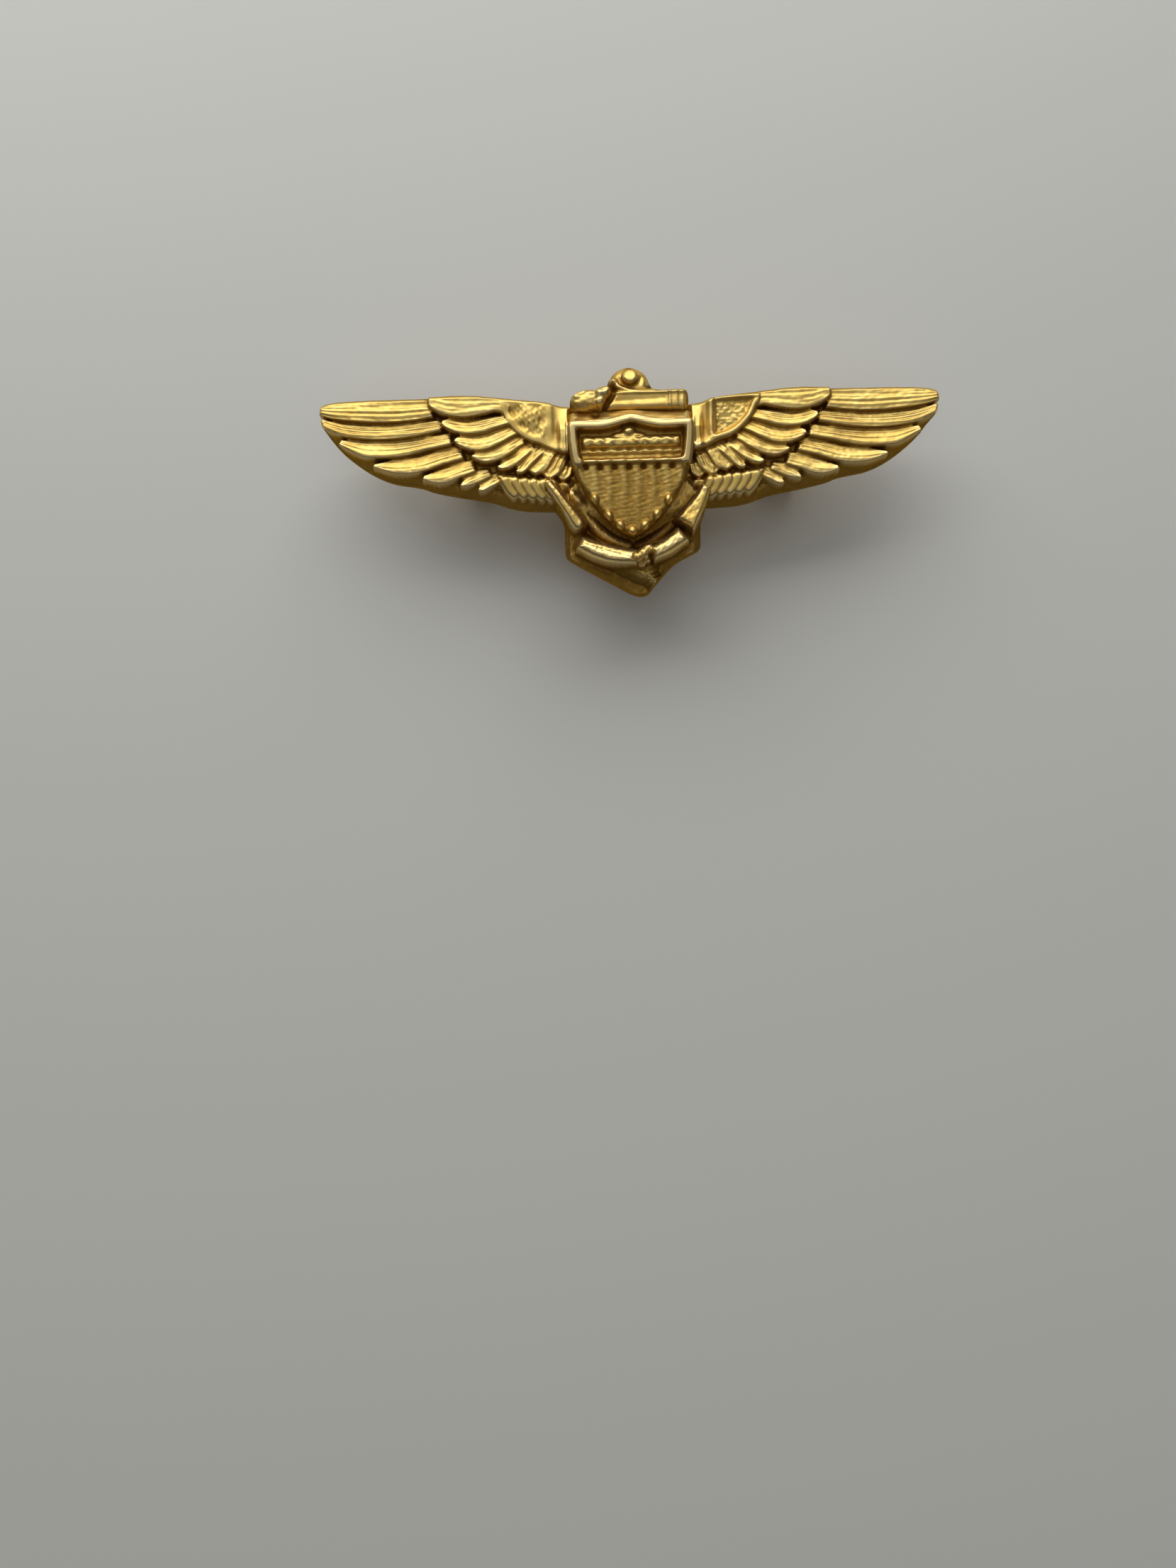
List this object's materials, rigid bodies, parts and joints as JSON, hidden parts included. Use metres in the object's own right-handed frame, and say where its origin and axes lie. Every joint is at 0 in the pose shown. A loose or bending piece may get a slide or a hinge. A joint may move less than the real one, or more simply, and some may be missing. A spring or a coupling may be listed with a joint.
{
  "type": "pilot wings pin",
  "caption": "Miniature winged badge in gilt brass with a shield over an anchor, worn on cloth with a hinged pin and a turning safety catch behind it.",
  "frame": {"origin": "middle of the base of the bounding box: on the surface the brooch fittings stand on, under the middle of the badge", "axes": "+X along the wings to the badge's right tip as seen from its face, +Y to the top of the badge, where the ring is, +Z out of its face"},
  "size_m": [0.0318, 0.0114, 0.0061],
  "materials": {
    "struck_gilt_brass": "satin, darker in the recesses",
    "plain_gilt_brass": "bright"
  },
  "bodies": {
    "badge": {"wing_plate": "struck_gilt_brass", "anchor": "struck_gilt_brass", "shield": "struck_gilt_brass", "shield_studs": "plain_gilt_brass", "joint_patch": "plain_gilt_brass", "joint_ears": "plain_gilt_brass", "joint_rivet": "plain_gilt_brass", "catch_patch": "plain_gilt_brass", "catch_housing": "plain_gilt_brass"},
    "tong": {"pin_tong": "plain_gilt_brass"},
    "sleeve": {"catch_sleeve": "plain_gilt_brass"}
  },
  "joints": [
    {"name": "tong_hinge", "type": "hinge", "parent": "badge", "child": "tong", "pos_m": [-0.008, 0.0015, 0.0013], "axis": [0, 1, 0], "range_deg": [0, 95]},
    {"name": "sleeve_turn", "type": "hinge", "parent": "badge", "child": "sleeve", "pos_m": [0.008, 0.0015, 0.0013], "axis": [-1, 0, 0], "range_deg": [0, 110]}
  ]
}
